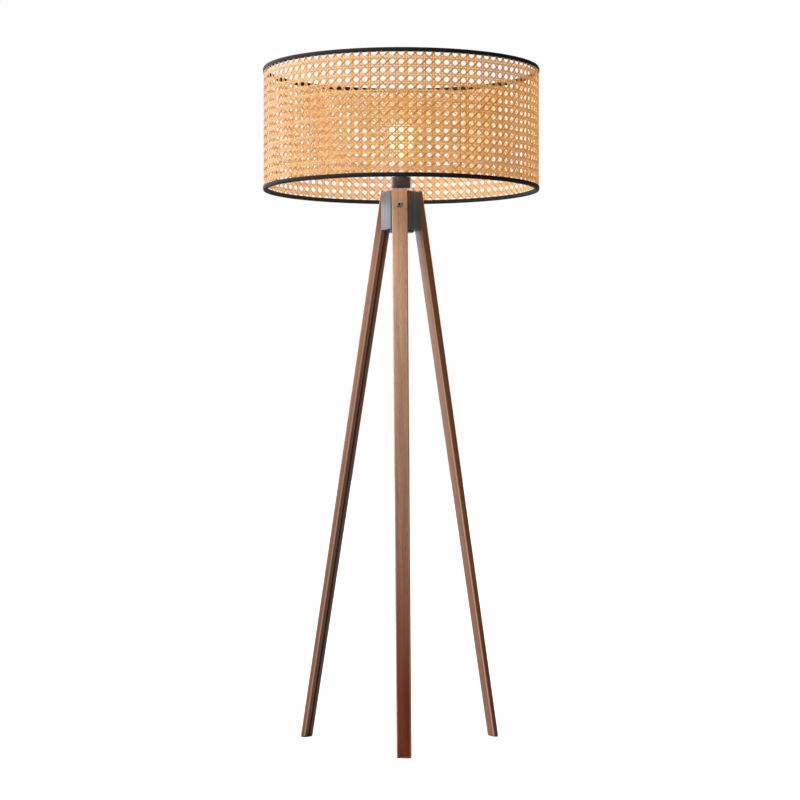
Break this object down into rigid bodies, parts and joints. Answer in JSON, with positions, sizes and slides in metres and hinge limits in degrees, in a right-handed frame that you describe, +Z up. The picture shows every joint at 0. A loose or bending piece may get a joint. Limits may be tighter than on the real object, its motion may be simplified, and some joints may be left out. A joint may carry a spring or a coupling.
{
  "type": "tripod floor lamp",
  "caption": "Floor lamp on a splayed wooden tripod, with a charcoal hub and an open drum shade of woven cane edged in black.",
  "frame": {"origin": "on the floor, under the axis of the stem and the shade", "axes": "+Z up along the stem; the front leg points to -Y, the other two to the back left and the back right"},
  "size_m": [0.6, 0.6, 1.465],
  "materials": {
    "walnut": "walnut stain under a satin lacquer, fine straight grain along the leg",
    "hub_paint": "charcoal satin paint with faint vertical streaks",
    "black_plastic": "black moulded plastic, fine texture",
    "white_plastic": "white moulded plastic, fine texture",
    "steel": "zinc plated",
    "brass": "turned, bare",
    "ceramic": "white, unglazed",
    "lead_rubber": "black sheath",
    "foot_felt": "pressed felt, reddish brown",
    "cane": "split rattan cane, six-way webbing, satin outer skin",
    "binding": "black woven tape, rolled over the edge",
    "white_coat": "white powder coat",
    "opal": "opal white, lit warm"
  },
  "bodies": {
    "tripod": {"hub": "hub_paint", "hub_bottom_cap": "black_plastic", "leg_front": "walnut", "foot_pad_front": "foot_felt", "leg_bolt_front": "steel", "leg_washer_front": "steel", "leg_insert_front": "brass", "leg_back_right": "walnut", "foot_pad_back_right": "foot_felt", "leg_bolt_back_right": "steel", "leg_washer_back_right": "steel", "leg_insert_back_right": "brass", "leg_back_left": "walnut", "foot_pad_back_left": "foot_felt", "leg_bolt_back_left": "steel", "leg_washer_back_left": "steel", "leg_insert_back_left": "brass", "stem_tube": "steel", "stem_top_washer": "steel", "stem_top_nut": "steel", "stem_bottom_washer": "steel", "stem_bottom_nut": "steel", "holder_lock_nut": "steel", "holder_cap": "black_plastic", "holder_skirt": "white_plastic", "holder_core": "ceramic", "holder_screw_shell": "brass", "holder_centre_contact": "brass", "holder_terminal_left": "brass", "holder_terminal_right": "brass", "leg_lead": "lead_rubber", "lead_outlet": "lead_rubber"},
    "ring_nut": {"shade_ring_nut": "white_plastic"},
    "shade": {"shade_fitting_ring": "white_coat", "shade_arm_back": "white_coat", "shade_arm_right": "white_coat", "shade_arm_left": "white_coat", "shade_top_ring": "white_coat", "shade_bottom_ring": "white_coat", "shade_cane": "cane", "shade_trim_top": "binding", "shade_trim_bottom": "binding"},
    "bulb": {"bulb_glass": "opal", "bulb_cap": "steel", "bulb_tip": "steel", "bulb_insulator": "black_plastic", "bulb_light_post": "ceramic"}
  },
  "joints": [
    {"name": "shade_turn", "type": "hinge", "parent": "tripod", "child": "shade", "pos_m": [0, 0, 1.249], "axis": [0, 0, 1], "continuous": true},
    {"name": "ring_nut_turn", "type": "hinge", "parent": "tripod", "child": "ring_nut", "pos_m": [0, 0, 1.255], "axis": [0, 0, 1], "range_deg": [0, 1080]},
    {"name": "bulb_turn", "type": "hinge", "parent": "tripod", "child": "bulb", "pos_m": [0, 0, 1.258], "axis": [0, 0, 1], "range_deg": [0, 900]}
  ]
}
